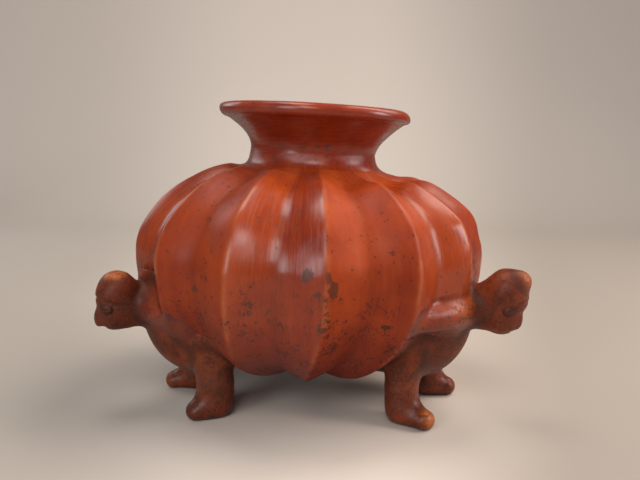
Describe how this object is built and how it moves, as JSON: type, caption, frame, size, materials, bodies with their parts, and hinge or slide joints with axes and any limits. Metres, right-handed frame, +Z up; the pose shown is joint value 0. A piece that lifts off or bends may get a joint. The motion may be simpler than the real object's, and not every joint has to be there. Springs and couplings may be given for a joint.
{
  "type": "squash effigy vessel",
  "caption": "Hollow squash-shaped pottery vessel with keeled lobes and a flaring neck, carried by crouching bearer figures on flat-soled feet.",
  "frame": {"origin": "middle of the footprint's bounding box, on the surface that the feet stand on", "axes": "+Z up; -Y towards the side seen in the picture, between the left and the right bearer; +X to that view's right; the vessel's axis stands at about x = 0, y = -0.016"},
  "size_m": [0.3, 0.2932, 0.2224],
  "materials": {
    "burnished_slip": "red slip burnished to a soft gloss on fired earthenware, with vertical rubbing strokes, orange thin places and dark mineral specks",
    "neck_slip": "deeper red slip burnished round the neck and lip on fired earthenware",
    "limb_slip": "red slip on the arms and the topknot, rubbed to a low sheen and thinner than on the body",
    "worn_clay": "brown, worn and speckled slip on the figures, dull with a low sheen on the feet"
  },
  "bodies": {
    "root": {"gourd": "burnished_slip", "neck": "neck_slip", "left_bearer_torso": "worn_clay", "left_bearer_head": "worn_clay", "left_bearer_left_arm": "limb_slip", "left_bearer_left_leg": "worn_clay", "left_bearer_left_eye": "worn_clay", "left_bearer_right_arm": "limb_slip", "left_bearer_right_leg": "worn_clay", "left_bearer_right_eye": "worn_clay", "right_bearer_torso": "worn_clay", "right_bearer_head": "worn_clay", "right_bearer_left_arm": "limb_slip", "right_bearer_left_leg": "worn_clay", "right_bearer_left_eye": "worn_clay", "right_bearer_right_arm": "limb_slip", "right_bearer_right_leg": "worn_clay", "right_bearer_right_eye": "worn_clay", "right_bearer_topknot": "limb_slip", "back_bearer_torso": "worn_clay", "back_bearer_head": "worn_clay", "back_bearer_left_arm": "limb_slip", "back_bearer_left_leg": "worn_clay", "back_bearer_left_eye": "worn_clay", "back_bearer_right_arm": "limb_slip", "back_bearer_right_leg": "worn_clay", "back_bearer_right_eye": "worn_clay"}
  },
  "joints": []
}
